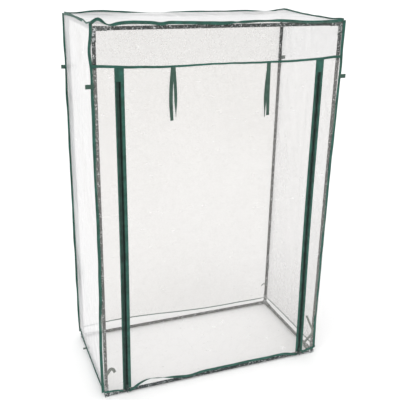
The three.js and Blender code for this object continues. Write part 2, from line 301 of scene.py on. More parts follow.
def connector_material():
    """Dark grey moulded plastic with pale flecks and a fine spark texture."""
    nodes = Nodes("connector_plastic")
    where = nodes.place()
    grain = nodes.noise(where, 900.0, 2.0)
    stops = [(0.42, (0.02, 0.03, 0.03)), (0.52, (0.09, 0.105, 0.105)), (0.60, (0.62, 0.64, 0.64))]
    nodes.feed("Base Color", nodes.ramp(nodes.noise(where, 150.0, 4.0, 0.7), stops))
    nodes.feed("Roughness", nodes.ramp(grain, [(0.3, 0.45), (0.7, 0.7)]))
    nodes.bump(grain, 0.4, 0.3 * MM)
    return nodes.material


def coil_material():
    """Dark nylon zip coil, smooth and a little shiny."""
    nodes = Nodes("zip_coil", Roughness=0.6, Specular_IOR_Level=0.2)
    worn = nodes.noise(nodes.place(), 260.0, 3.0)
    stops = [(0.35, (0.002, 0.006, 0.005)), (0.7, (0.008, 0.020, 0.016))]
    nodes.feed("Base Color", nodes.ramp(worn, stops))
    nodes.bump(worn, 0.2, 0.3 * MM)
    return nodes.material


def lacquer_material():
    """Dark green lacquer on a die-cast slider, with bare metal where it is worn."""
    nodes = Nodes("zip_metal", Roughness=0.3, Coat_Weight=0.4)
    where = nodes.place()
    wear = nodes.ramp(nodes.noise(where, 420.0, 5.0, 0.7), [(0.66, 0.0), (0.74, 1.0)])
    nodes.feed("Base Color", nodes.mix(wear, (0.012, 0.035, 0.028), (0.32, 0.33, 0.32)))
    nodes.feed("Metallic", wear)
    nodes.bump(nodes.noise(where, 700.0, 2.0), 0.25, 0.3 * MM)
    return nodes.material


def thread_material():
    """Twisted sewing thread, paler than the tape that it holds."""
    nodes = Nodes("thread", Roughness=0.7, Sheen_Weight=0.4)
    fibre = nodes.noise(nodes.place(), 1500.0, 2.0)
    nodes.feed("Base Color", nodes.ramp(fibre, [(0.3, (0.05, 0.13, 0.1)), (0.7, (0.13, 0.25, 0.2))]))
    return nodes.material


MATERIALS = {
    "film": film_material("clear_film", (0.62, 0.58, 0.54), 0.125, 0.08),
    # The rear film is a darker, hazier copy whose haze rises towards the top: painted shade.
    "rear_film": film_material("rear_film", (0.50, 0.47, 0.43), 0.08, 0.08, 0.28, rough=0.4, crinkled=0.25),
    # A darker copy of the clear film, on the roof and the right wall: painted shade.
    "grey_film": film_material("grey_film", (0.28, 0.26, 0.25), 0.175, 0.08),
    "clearer_film": film_material("clearer_film", (0.32, 0.29, 0.26), 0.07, 0.03),
    "binding": woven_material("green_binding", (0.008, 0.060, 0.042), (0.022, 0.120, 0.090), 0.8 * MM, 0.10),
    "zip_tape": woven_material("zip_tape", (0.003, 0.019, 0.013), (0.012, 0.050, 0.036), 0.6 * MM, 0.06),
    "faded_strap": woven_material("faded_strap", (0.09, 0.12, 0.105), (0.17, 0.20, 0.18), 1.1 * MM, 0.1),
    "strap": woven_material("green_strap", (0.022, 0.062, 0.045), (0.048, 0.108, 0.080), 1.1 * MM, 0.15),
    "tube": tube_material(),
    "connector": connector_material(),
    "coil": coil_material(),
    "lacquer": lacquer_material(),
    "thread": thread_material(),
}


# ---- mesh helpers
def new_piece(name, points, faces, materials, maps=None, face_slots=None, sharp=35, closed=True):
    """A mesh object, smooth apart from sharp edges. maps gives metres along and across it, for the weave."""
    mesh = bpy.data.meshes.new(name)
    mesh.from_pydata([tuple(map(float, p)) for p in points], [], [tuple(map(int, f)) for f in faces])
    for key in materials:
        mesh.materials.append(MATERIALS[key])
    if face_slots is not None:
        mesh.polygons.foreach_set("material_index", np.asarray(face_slots, np.int32))
    if maps is not None:
        layer = mesh.uv_layers.new(name="cloth")
        indices = np.zeros(len(mesh.loops), np.int32)
        mesh.loops.foreach_get("vertex_index", indices)
        layer.data.foreach_set("uv", np.asarray(maps, np.float32)[indices].ravel())
    if closed:
        shape = bmesh.new()
        shape.from_mesh(mesh)
        bmesh.ops.recalc_face_normals(shape, faces=shape.faces)
        shape.to_mesh(mesh)
        shape.free()
    mesh.shade_smooth()
    mesh.set_sharp_from_angle(angle=math.radians(sharp))
    mesh.validate()
    piece = bpy.data.objects.new(name, mesh)
    bpy.context.scene.collection.objects.link(piece)
    return piece


def smooth_step(value):
    value = np.clip(value, 0.0, 1.0)
    return value * value * (3 - 2 * value)


def ripple(u, v, seed, wavelength):
    """A smooth repeatable pattern of about -1 to 1 over a sheet."""
    rng = np.random.default_rng(seed)
    count = 9
    total = np.zeros(np.broadcast(u, v).shape)
    for _ in range(count):
        angle, phase = rng.uniform(0, math.pi), rng.uniform(0, 2 * math.pi)
        length = wavelength * rng.uniform(0.55, 1.7)
        total += np.sin(2 * math.pi * (u * math.cos(angle) + v * math.sin(angle)) / length + phase)
    return total / math.sqrt(count)


def wobble(at, seed, wavelength):
    """The same along a line."""
    return ripple(np.asarray(at, float), 0.0, seed, wavelength)


def hash_seed(*words):
    return sum(ord(letter) for word in words for letter in word)


def placed(*axes):
    """Points from their coordinates along each axis. A single number holds for all of them."""
    return np.stack(np.broadcast_arrays(*axes), axis=-1)


def alike(direction, points):
    """The same direction at every point."""
    return np.tile(direction, (len(points), 1))


def unit(vectors):
    return vectors / np.linalg.norm(vectors, axis=-1, keepdims=True)


def evened(values, passes, closed=False):
    """Values along a path, drawn towards their neighbours' mean in each pass. Open ends stay."""
    values = np.array(values, float)
    for _ in range(passes):
        drawn = 0.5 * values + 0.25 * (np.roll(values, 1, axis=0) + np.roll(values, -1, axis=0))
        if not closed:
            drawn[0], drawn[-1] = values[0], values[-1]
        values = drawn
    return values


def run_along(path):
    """The distance along a path at each of its points."""
    return np.concatenate([[0.0], np.cumsum(np.linalg.norm(np.diff(path, axis=0), axis=1))])


def skin(count, size, closed=False):
    """Faces between count rings of size points each. Open ends are capped."""
    faces = []
    for k in range(count if closed else count - 1):
        a, b = k * size, (k + 1) % count * size
        faces += [(a + j, a + (j + 1) % size, b + (j + 1) % size, b + j) for j in range(size)]
    if not closed:
        faces.append(tuple(reversed(range(size))))
        faces.append(tuple((count - 1) * size + j for j in range(size)))
    return faces


def settle(piece, slot, body, *nodes):
    """Gives a piece the body that it rides on, and hides the CAD nodes that it stands for. The slot is not
    used.
    """
    if body:
        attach(piece, body)
    if nodes:
        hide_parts(*nodes)
    return piece


# ---- film sheets
CREASE_PITCH = 0.245  # the cover is folded into squares in its pack
CREASE_SPREAD = 12 * MM
FILM_STEP = 11 * MM  # spacing of points up the film
LONG, SHORT, JAMB, DOOR = 92, 47, 9, 74  # points across each kind of film panel


def relief(u, v, seed, edge, ease=0.06):
    """How far the film stands off its plane: slack waves, small puckers and sharp packing creases."""
    slack = 3.0 * MM * ripple(u, v, seed, 0.42)
    puckers = 0.7 * MM * ripple(u, v, seed + 50, 0.075) * (0.4 + 0.6 * smooth_step(1.4 - edge / 0.25))
    folded = np.abs((u / CREASE_PITCH + 0.5) % 1.0 - 0.5) * CREASE_PITCH
    crossed = np.abs((v / CREASE_PITCH + 0.3) % 1.0 - 0.5) * CREASE_PITCH
    crease = 1.6 * MM * (np.exp(-folded / CREASE_SPREAD) + np.exp(-crossed / CREASE_SPREAD))
    return np.minimum((slack + puckers + crease) * smooth_step(edge / ease), 2.4 * MM)


def film_sheet(name, columns, rows, edges, to_frame, seed, material="film", body="root", nodes=(),
               whole=None):
    """A film panel as one skin. edges gives its low and high u at each v. to_frame places (u, v, off)."""
    v = np.repeat(rows[:, None], columns, axis=1)
    low, high = edges(rows)
    share = np.linspace(0.0, 1.0, columns)[None, :]
    u = low[:, None] + (high - low)[:, None] * share
    v_low, v_high = whole or (rows[0], rows[-1])
    nearest = np.minimum.reduce([u - low[:, None], high[:, None] - u, v - v_low, v_high - v])
    off = relief(u, v, seed, np.maximum(nearest, 0.0))
    points = placed(*to_frame(u, v, off)).reshape(-1, 3)
    starts = [r * columns + c for r in range(len(rows) - 1) for c in range(columns - 1)]
    faces = [(k, k + 1, k + columns + 1, k + columns) for k in starts]
    maps = placed(u, v).reshape(-1, 2)
    piece = new_piece(name, points, faces, [material], maps, sharp=180, closed=False)
    return settle(piece, "clear_film", body, *nodes)


# ---- how the sewn seams wander
# A seam starts on its CAD node's middle line. Its bends are (share along it, offset in mm, spread). The
# share runs from 0 to 1 towards +X, +Y or +Z, the offset is up or outward, and the spread is a share too.
ROOF_BENDS = {
    "front": [(0.024, 18, 0.017), (0.065, -6, 0.022), (0.15, 2, 0.07), (0.25, -5, 0.018), (0.48, -5, 0.12),
              (0.88, -9, 0.12)],
    "right": [(0.18, -3, 0.10), (0.50, -9, 0.38)],
    "rear": [(0.04, -9, 0.06), (0.38, -13, 0.17), (0.70, -9, 0.16), (0.91, -12, 0.07)],
    "left": [(0.15, -7, 0.07), (0.97, -6, 0.15)],
}
HEM_BENDS = {
    "front": [(0.03, -2, 0.04), (0.10, -20, 0.035), (0.19, 17, 0.05), (0.26, 7, 0.06), (0.37, -8, 0.05),
              (0.91, -17, 0.045)],
    "right": [(0.5, 6, 0.5)],
    "rear": [(0.2, 26, 0.3)],
    "left": [(0.2, -6, 0.4), (1.0, 18, 0.15)],
}
CORNER_BENDS = {
    ("front", "left"): [(0.10, 9, 0.22), (0.75, 4, 0.20), (0.945, 6, 0.03)],
    ("front", "right"): [(0.15, -5, 0.12), (0.45, -7, 0.35), (0.87, 4, 0.05)],
    ("rear", "left"): [(0.5, 3, 0.5)],
    ("rear", "right"): [(0.5, -4, 0.4)],
}
HEADER_BENDS = [(0.0, 6, 0.08), (0.28, -5, 0.13), (0.68, -4, 0.20), (1.0, 7, 0.10)]
FRONT_THIN = [(0.058, 0.62, 0.016), (0.54, 0.55, 0.016), (0.66, 0.35, 0.05)]  # how the roof's tape narrows
ZIP_BOW = {"left": 2 * MM, "right": -4 * MM}  # small enough to keep the coil under its slider
BINDING_WIDTH = 12 * MM
BINDING_THICKNESS = 1.3 * MM
ZIP_HALF = 17.5 * MM
ZIP_GREEN = {"left": {-1: 5 * MM, 1: 12 * MM}, "right": {-1: 8 * MM, 1: 9 * MM}}  # the jamb's and the door's
FILM_TO_ZIP = 10 * MM
FINE = 6 * MM  # spacing of points along a swept tape
ROOF_SEAM_Z = middle("binding_roof").z
HEM_SEAM_Z = middle("binding_hem").z
HEADER_SEAM_Z = middle("binding_header").z
CORNER_SEAM_X = middle("binding_corner_front_right").x


def spans(low, high, step):
    return np.linspace(low, high, max(2, int(round((high - low) / step)) + 1))


def bent(bends, share, unit=MM):
    share = np.asarray(share, float)
    total = np.zeros(share.shape)
    for at, offset, spread in bends:
        total += offset * unit * np.exp(-(((share - at) / spread) ** 2))
    return total


def share_of(line, at):
    reach = FILM_X if line in ENDS else FILM_Y
    return (np.asarray(at, float) + reach) / (2 * reach)


def roof_z(line, at):
    return ROOF_SEAM_Z + bent(ROOF_BENDS[line], share_of(line, at))


def hem_z(line, at):
    return HEM_SEAM_Z + bent(HEM_BENDS[line], share_of(line, at))


def header_z(x):
    return HEADER_SEAM_Z + bent(HEADER_BENDS, share_of("front", x))


def corner_x(end, side, z):
    return SIDES[side] * (CORNER_SEAM_X + bent(CORNER_BENDS[end, side], np.asarray(z, float) / ROOF_Z))


def zip_x(side, z):
    """The zip's line is its slider's straight path, with a slight bow."""
    axis = JOINTS[f"slider_{side}_slide"]["axis"]
    start = middle(f"zip_slider_{side}")
    z = np.asarray(z, float)
    bow = ZIP_BOW[side] * np.sin(math.pi * np.clip(z / SEAM_Z, 0, 1)) ** 2
    return start.x + (z - start.z) * axis[0] / axis[2] + bow


# ---- swept tapes
def profile(width, thickness, folded):
    """A tape's section. A folded one is round at its fold and pulled in at its stitching."""
    across = np.array([0.5, 0.47, 0.40, 0.20, -0.05, -0.22, -0.30, -0.38, -0.46, -0.5]) * width
    plain = [0.0, 0.70, 0.94, 1.0, 1.0, 1.0, 1.0, 1.0, 0.94, 0.0]
    sewn = [0.0, 0.60, 0.92, 1.0, 0.92, 0.72, 0.52, 0.72, 0.80, 0.62]
    half = thickness / 2 * np.array(sewn if folded else plain)
    top = list(zip(across, half))
    bottom = [(a, -h) for a, h in top[::-1] if h > 0]
    return np.array(top + bottom)


def frames(path, across, closed=False):
    """Unit directions along, across and off a path, with the across direction squared to the path."""
    ahead, behind = np.roll(path, -1, axis=0), np.roll(path, 1, axis=0)
    if not closed:
        ahead[-1], behind[0] = path[-1], path[0]
    tangent = unit(ahead - behind)
    across = unit(across - (across * tangent).sum(axis=1)[:, None] * tangent)
    return tangent, across, np.cross(tangent, across)


def tilted(across, normal, angle):
    angle = np.asarray(angle, float)[:, None]
    return across * np.cos(angle) + normal * np.sin(angle)


def swept(path, across, width, thickness, folded=True, closed=False, pinch=None):
    """Points, faces and map of a tape swept along a path. pinch scales its width at each point."""
    tangent, across, normal = frames(path, across, closed)
    ring = profile(width, thickness, folded)
    size = len(ring)
    scale = np.ones(len(path)) if pinch is None else np.asarray(pinch, float)
    wide = across[:, None] * ring[:, 0:1] * scale[:, None, None]
    points = (path[:, None] + wide + normal[:, None] * ring[:, 1:2]).reshape(-1, 3)
    maps = placed(np.repeat(run_along(path), size), np.tile(ring[:, 0], len(path)))
    return points, skin(len(path), size, closed), maps


def spindles(centres, along, side, off, half, radius):
    """Small closed spindles, one at each centre, lying along the directions given."""
    ring = [(-0.55, 1, 0), (-0.55, 0, 1), (-0.55, -1, 0), (-0.55, 0, -1)]
    shape = np.array([(-1.0, 0, 0)] + ring + [(-x, y, z) for x, y, z in ring] + [(1.0, 0, 0)])
    points = (
        centres[:, None]
        + along[:, None] * shape[:, 0:1] * half
        + side[:, None] * shape[:, 1:2] * radius
        + off[:, None] * shape[:, 2:3] * radius
    )
    template = []
    for j in range(4):
        k = (j + 1) % 4
        template += [(0, 1 + k, 1 + j), (9, 5 + j, 5 + k), (1 + j, 1 + k, 5 + k, 5 + j)]
    size = len(shape)
    faces = [tuple(first * size + v for v in face) for first in range(len(centres)) for face in template]
    return points.reshape(-1, 3), faces


def stitches(path, across, offset, lift, closed=False):
    """A row of thread stitches beside a path, on both faces of the tape."""
    pitch, length, radius = 4.2 * MM, 2.9 * MM, 0.33 * MM
    tangent, across, normal = frames(path, across, closed)
    run = run_along(path)
    at = np.arange(pitch, run[-1] - pitch / 2, pitch)

    def read(values):
        return placed(*(np.interp(at, run, values[:, k]) for k in range(3)))

    place, side, off, ahead = read(path), read(across), read(normal), read(tangent)
    heart = place + side * offset
    centres = np.concatenate([heart + off * lift, heart - off * lift])
    doubled = [np.concatenate([values, values]) for values in (ahead, side, off)]
    return spindles(centres, *doubled, length / 2, radius)


def joined(name, parts, materials, sharp=35):
    """One piece made of several (points, faces, maps, slot)."""
    points, faces, maps, slots, first = [], [], [], [], 0
    for part_points, part_faces, part_maps, slot in parts:
        points.append(part_points)
        maps.append(part_maps if part_maps is not None else np.zeros((len(part_points), 2)))
        faces += [tuple(first + k for k in face) for face in part_faces]
        slots += [slot] * len(part_faces)
        first += len(part_points)
    return new_piece(name, np.concatenate(points), faces, materials, np.concatenate(maps), slots, sharp)


def tape(name, path, across, width, thickness, body="root", nodes=(), folded=True, closed=False, pinch=None,
         stitch_at=(-0.30,), material="binding", slot="green_binding"):
    """A stitched tape along a path, riding on a body and standing for CAD nodes."""
    path, across = np.asarray(path, float), np.asarray(across, float)
    parts = [(*swept(path, across, width, thickness, folded, closed, pinch), 0)]
    for share in stitch_at:
        lift = thickness / 2 * (0.55 if folded else 1.0)
        sewn, sewn_faces = stitches(path, across, share * width, lift, closed)
        parts.append((sewn, sewn_faces, None, 1))
    return settle(joined(name, parts, [material, "thread"]), slot, body, *nodes)


# ---- the fixed cover
TOP_EASE, FOOT_EASE = 50 * MM, 80 * MM  # heights over which a wall's rows turn to follow its seams
ROOF_SAG = 9 * MM
CORNER_FOOT_Z = 28 * MM


def wall(line):
    """Places the points of a wall. Its top and bottom rows follow the roof binding and the hem."""
    sign = ENDS.get(line) or SIDES[line]

    def to_frame(u, v, off):
        along = u if line in ENDS else u * -sign
        rise = (roof_z(line, along) - ROOF_Z) * smooth_step((v - ROOF_Z + TOP_EASE) / TOP_EASE)
        fall = (hem_z(line, along) - DOOR_BOTTOM_Z) * smooth_step((DOOR_BOTTOM_Z + FOOT_EASE - v) / FOOT_EASE)
        if line in ENDS:
            return along, sign * (FILM_Y + off), v + rise + fall
        return sign * (FILM_X + off), along, v + rise + fall

    return to_frame


def roof(u, v, off):
    """Sags in the middle. Its edges follow the binding, and it stays above the rails inside them."""
    drop = ROOF_SAG * smooth_step((FILM_X - np.abs(u)) / 0.2) * smooth_step((FILM_Y - np.abs(v)) / 0.12)
    total, weights = np.zeros(u.shape), np.zeros(u.shape)
    for line in (*ENDS, *SIDES):
        sign = ENDS.get(line) or SIDES[line]
        inward = FILM_Y - sign * v if line in ENDS else FILM_X - sign * u
        change = roof_z(line, u if line in ENDS else v) - ROOF_Z
        weight = smooth_step(1 - inward / np.where(change > 0, 50 * MM, 8 * MM))
        total += weight * change
        weights += weight
    return u, v, ROOF_Z + off - drop + total / np.maximum(weights, 1.0)


def between_corners(end):
    return lambda v: (corner_x(end, "left", v), corner_x(end, "right", v))


def straight(reach):
    return lambda v: (np.full(len(v), -reach), np.full(len(v), reach))


def jamb_edges(side):
    def edges(v):
        zipped, corner = zip_x(side, v) + SIDES[side] * FILM_TO_ZIP, corner_x("front", side, v)
        return (corner, zipped) if side == "left" else (zipped, corner)

    return edges


def build_film():
    """Roof, rear, side, header and jamb panels. Each runs out to the middle of the bindings round it."""
    tall = spans(DOOR_BOTTOM_Z, ROOF_Z, FILM_STEP)
    film_sheet(
        "rear_film", LONG, tall, between_corners("rear"), wall("rear"), 11, "rear_film",
        nodes=["film_rear"],
    )
    for side, sign in SIDES.items():
        film_sheet(
            f"{side}_film", SHORT, tall, straight(FILM_Y), wall(side), 23 + sign,
            "clearer_film" if side == "left" else "grey_film", nodes=[f"film_{side}"],
        )
    film_sheet(
        "header_film", LONG, spans(SEAM_Z, ROOF_Z, FILM_STEP), between_corners("front"), wall("front"), 31,
        "clearer_film", nodes=["film_header"],
    )
    for side, sign in SIDES.items():
        film_sheet(
            f"{side}_jamb_film", JAMB, spans(DOOR_BOTTOM_Z, SEAM_Z, FILM_STEP), jamb_edges(side),
            wall("front"), 41 + sign, nodes=[f"film_jamb_{side}"],
        )
    film_sheet(
        "roof_film", LONG, spans(-FILM_Y, FILM_Y, FILM_STEP), straight(FILM_X), roof, 53,
        "grey_film", nodes=["film_roof"],
    )


def seam_on_wall(line, fixed, at, z, lean, shift=0.0):
    """A seam's points along one wall, and its across directions, which lean outward from upright."""
    outward = np.sign(fixed) * (Y_AXIS if line in ENDS else X_AXIS)
    points = placed(at, fixed, z) if line in ENDS else placed(fixed, at, z)
    lean = np.broadcast_to(lean, at.shape)
    return points + outward * np.reshape(shift, (-1, 1)), tilted(alike(Z_AXIS, at), alike(outward, at), lean)


def build_bindings():
    for end, side in CORNERS:
        seed = hash_seed(end, side)
        z = spans(CORNER_FOOT_Z, float(roof_z(end, SIDES[side] * FILM_X)), FINE)
        x = corner_x(end, side, z) + 0.9 * MM * wobble(z, seed, 0.16)
        y = ENDS[end] * (FILM_Y + 0.6 * MM * wobble(z, seed, 0.22))
        tilt = (0.15 if end == "front" else 0.35) * wobble(z, seed + 3, 0.34)
        tape(
            f"{end}_{side}_corner_binding", placed(x, y, z),
            tilted(alike(SIDES[side] * X_AXIS, z), alike(ENDS[end] * Y_AXIS, z), tilt), BINDING_WIDTH,
            BINDING_THICKNESS, nodes=[f"binding_corner_{end}_{side}"],
        )

    loop, directions, widths = [], [], []
    for line, fixed, low, high in (
        ("front", -FILM_Y, -FILM_X, FILM_X), ("right", FILM_X, -FILM_Y, FILM_Y),
        ("rear", FILM_Y, FILM_X, -FILM_X), ("left", -FILM_X, FILM_Y, -FILM_Y),
    ):
        at = np.linspace(low, high, int(abs(high - low) / FINE))[:-1]
        z = roof_z(line, at) + 0.7 * MM * wobble(at, len(line), 0.10)
        bow = 2.2 * MM * wobble(at, 7 + len(line), 0.24)
        lean = 0.22 * wobble(at, 17 + len(line), 0.30)
        points, across = seam_on_wall(line, fixed, at, z, lean, bow)
        loop.extend(points)
        directions.extend(across)
        widths.extend(1 - bent(FRONT_THIN, share_of(line, at), 1.0) * (line == "front"))
    tape(
        "roof_binding", evened(loop, 3, True), evened(directions, 3, True), BINDING_WIDTH, BINDING_THICKNESS,
        nodes=["binding_roof"], closed=True, pinch=widths,
    )

    x = spans(corner_x("front", "left", SEAM_Z), corner_x("front", "right", SEAM_Z), FINE)
    z = header_z(x) + 0.5 * MM * wobble(x, 5, 0.09)
    hung = tilted(alike(-Z_AXIS, x), alike(-Y_AXIS, x), 0.10 * wobble(x, 6, 0.3))
    rolled = 0.62 + 0.75 * np.abs(share_of("front", x) - 0.5)
    tape(
        "header_binding", placed(x, -FILM_Y - 3.0 * MM, z), hung, 10.5 * MM, 1.4 * MM,
        nodes=["binding_header"], pinch=rolled,
    )


LEANS = {"front": 0.0, "left": 0.75, "rear": 1.75, "right": 2.1}  # radians outward from upright


def build_hem():
    """One fixed hem from zip to zip round the back. It turns outward and down at the rear and right."""
    path, across = [], []

    def stretch(line, fixed, low, high):
        at = np.linspace(low, high, max(3, int(abs(high - low) / FINE)))
        z = hem_z(line, at) + 0.6 * MM * wobble(at, hash_seed(line), 0.12)
        points, directions = seam_on_wall(line, fixed, at, z, LEANS[line])
        path.extend(points)
        across.extend(directions)

    reach_x, reach_y = FILM_X + 1.2 * MM, FILM_Y + 1.2 * MM
    inset = 4 * MM
    jamb_inner = {side: float(zip_x(side, HEM_SEAM_Z)) + sign * ZIP_HALF for side, sign in SIDES.items()}
    stretch("front", -reach_y, jamb_inner["left"], -reach_x + inset)
    narrow = [0.6] * len(path)
    stretch("left", -reach_x, -reach_y + inset, reach_y - inset)
    stretch("rear", reach_y, -reach_x + inset, reach_x - inset)
    stretch("right", reach_x, reach_y - inset, -reach_y + inset)
    stretch("front", -reach_y, reach_x - inset, jamb_inner["right"])
    widths = narrow + [1.0] * (len(path) - len(narrow))
    tape(
        "hem_binding", path, evened(across, 60), BINDING_WIDTH, BINDING_THICKNESS, nodes=["binding_hem"],
        pinch=evened(widths, 60),
    )


# ---- the door
# The film is cut at mid-fold, and each piece but the lowest holds one fold.
HINGE_REACH = 10 * MM
FRONT_Y = -FILM_Y


def door_parts():
    """(high, low, bodies, start, end) of each piece of the door, from the header down."""
    parts = [(SEAM_Z, SEAM_Z - FOLD_PITCH / 2, ("root", "door_1"), SEAM_Z, SEAM_Z - 2 * HINGE_REACH)]
    for k in range(1, FOLDS):
        hinge = SEAM_Z - k * FOLD_PITCH
        bodies = (f"door_{k}", f"door_{k + 1}")
        high, low = hinge + FOLD_PITCH / 2, hinge - FOLD_PITCH / 2
        parts.append((high, low, bodies, hinge + HINGE_REACH, hinge - HINGE_REACH))
    parts.append((DOOR_BOTTOM_Z + FOLD_PITCH / 2, DOOR_BOTTOM_Z, (f"door_{FOLDS}",), None, None))
    return parts


def attach_to_door(piece, part):
    _, _, bodies, start, end = part
    if len(bodies) == 1:
        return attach(piece, bodies[0])
    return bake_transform(piece)


def door_rows(part, step):
    """Heights up a door piece, close together where it bends."""
    high, low, _, start, end = part
    rows = spans(low, high, step)
    if start is None:
        return rows
    tight = spans(end, start, 2 * MM)
    apart = np.abs(rows[:, None] - tight[None, :]).min(axis=1)
    kept = rows[(apart > step / 3) | (rows == rows[0]) | (rows == rows[-1])]
    return np.unique(np.round(np.concatenate([kept, tight]), 6))


def build_door():
    def edges(v):
        return zip_x("left", v) + FILM_TO_ZIP, zip_x("right", v) - FILM_TO_ZIP

    for number, part in enumerate(door_parts(), 1):
        film = film_sheet(
            f"door_film_{number}", DOOR, door_rows(part, FILM_STEP), edges, wall("front"), 61,
            body=None, whole=(DOOR_BOTTOM_Z, SEAM_Z),
        )
        attach_to_door(film, part)
        if number <= FOLDS:
            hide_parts(f"door_fold_{number}")
    clear = 8 * MM
    low, high = (float(zip_x(side, HEM_SEAM_Z)) - SIDES[side] * clear for side in SIDES)
    x = spans(low, high, FINE)
    z = hem_z("front", x) + 0.6 * MM * wobble(x, 71, 0.10)
    edge_on = 1.25 * np.exp(-(((share_of("front", x) - 0.23) / 0.05) ** 2))
    tape(
        "door_hem", placed(x, FRONT_Y - 1.2 * MM, z), tilted(alike(Z_AXIS, x), alike(-Y_AXIS, x), edge_on),
        BINDING_WIDTH, BINDING_THICKNESS, f"door_{FOLDS}", ["door_hem"],
    )


# ---- zips
TOOTH_PITCH = 1.8 * MM
TAPE_LIFT = 0.5 * MM
EDGE_LIFT = 1.0 * MM
COIL_LIFT = 1.2 * MM


def zip_half(name, side, inward, rows, low, high):
    """One half of a zip: inward is -1 on the jamb and 1 on the door."""
    towards = -SIDES[side] * inward
    green_width = ZIP_GREEN[side][inward]
    dark_width = ZIP_HALF - green_width + 1 * MM

    def line(offset, lift):
        return placed(zip_x(side, rows) + towards * offset, FRONT_Y - lift, rows)

    across = alike(-towards * X_AXIS, rows)
    dark = line(0.15 * MM + dark_width / 2, TAPE_LIFT)
    green = line(ZIP_HALF - green_width / 2, EDGE_LIFT)
    sewn, sewn_faces = stitches(green, across, 0.30 * green_width, 0.45 * MM)
    parts = [
        (*swept(dark, across, dark_width, 0.6 * MM, folded=False), 0),
        (*swept(green, across, green_width, 1.2 * MM), 1),
        (sewn, sewn_faces, None, 2),
    ]
    first, last = math.ceil(low / TOOTH_PITCH), math.floor(min(high, PATCH_LOW_Z) / TOOTH_PITCH)
    heights = np.arange(first, last) * TOOTH_PITCH
    if len(heights):
        heights = heights + (TOOTH_PITCH / 2 if inward > 0 else 0.0)
        x = zip_x(side, heights) + towards * 1.2 * MM
        centres = placed(x, FRONT_Y - COIL_LIFT, heights)
        axes = [alike(axis, heights) for axis in (X_AXIS, Z_AXIS, -Y_AXIS)]
        parts.append((*spindles(centres, *axes, 2.0 * MM, 0.62 * MM), None, 3))
    return joined(name, parts, ["zip_tape", "binding", "thread", "coil"])


def build_zips():
    for side in SIDES:
        rows = spans(TAPE_BOTTOM_Z, SEAM_Z, FINE)
        jamb = zip_half(f"{side}_zip_jamb_half", side, -1, rows, TAPE_BOTTOM_Z, SEAM_Z)
        settle(jamb, "zip_tape", "root", f"zip_tape_{side}")
        for number, part in enumerate(door_parts(), 1):
            high, low = part[0], max(part[1], TAPE_BOTTOM_Z)
            rows = door_rows((high, low, *part[2:]), FINE)
            half = zip_half(f"{side}_zip_door_half_{number}", side, 1, rows, low, high)
            attach_to_door(half, part)
        z = spans(PATCH_LOW_Z, SEAM_Z + 3 * MM, 3 * MM)
        tape(
            f"{side}_zip_top_patch", placed(zip_x(side, z), FRONT_Y - 1.8 * MM, z), alike(X_AXIS, z),
            2 * ZIP_HALF, 0.9 * MM, folded=False, stitch_at=(-0.42, 0.42),
        )


# ---- sliders and pulls
def rounded_block(low, high, radius, segments=3, foot_width=1.0):
    """A block with rounded edges. Its width in X grows from foot_width of the whole, at the bottom."""
    low, high = np.asarray(low, float), np.asarray(high, float)
    shape = bmesh.new()
    bmesh.ops.create_cube(shape, size=1.0)
    for vertex in shape.verts:
        share = vertex.co.z + 0.5
        place = low + (np.array(vertex.co) + 0.5) * (high - low)
        centre = (low[0] + high[0]) / 2
        place[0] = centre + (place[0] - centre) * (foot_width + (1 - foot_width) * share)
        vertex.co = Vector(place)
    edges = list(shape.edges)
    bmesh.ops.bevel(shape, geom=edges, offset=radius, segments=segments, profile=0.5, affect="EDGES")
    shape.verts.index_update()
    points = np.array([tuple(vertex.co) for vertex in shape.verts])
    faces = [tuple(vertex.index for vertex in face.verts) for face in shape.faces]
    shape.free()
    return points, faces


def rod(path, radius, sides=10):
    """A round bar along a path in the plane across X."""
    ahead = unit(np.gradient(path, axis=0))
    side = unit(np.cross(ahead, X_AXIS))
    off = np.cross(ahead, side)
    turn = np.linspace(0, 2 * math.pi, sides, endpoint=False)[:, None]
    points = path[:, None] + side[:, None] * np.cos(turn) * radius + off[:, None] * np.sin(turn) * radius
    return points.reshape(-1, 3), skin(len(path), sides)


def build_sliders():
    """A saddle with flanges that curl round the coil, and a bail on its front that holds the pull."""
    for side in SIDES:
        low, high = corners(f"zip_slider_{side}")
        centre = (low + high) / 2
        plate, flange = 2.1 * MM, 1.5 * MM
        shapes = [rounded_block((low[0], high[1] - plate, low[2]), high, 0.7 * MM, foot_width=0.78)]
        for sign in (-1, 1):
            edge = centre[0] + sign * (high[0] - centre[0] - flange / 2) * 0.9
            flange_low = (edge - flange / 2, high[1] - 0.4 * MM, low[2] + 2 * MM)
            flange_high = (edge + flange / 2, high[1] + 0.9 * MM, high[2] - 2 * MM)
            shapes.append(rounded_block(flange_low, flange_high, 0.4 * MM))
        turn = np.linspace(0, math.pi, 13)
        reach = (high[2] - low[2]) * 0.34
        rise = centre[1] - (high[1] - plate) - 0.2 * MM
        forward = high[1] - plate + 0.3 * MM - (abs(rise) + 1.6 * MM) * np.sin(turn)
        shapes.append(rod(placed(centre[0], forward, centre[2] - reach * np.cos(turn)), 0.75 * MM))
        parts = [(*shape, None, 0) for shape in shapes]
        slider = joined(f"{side}_zip_slider", parts, ["lacquer"], sharp=50)
        settle(slider, "zip_metal", f"slider_{side}", f"zip_slider_{side}")


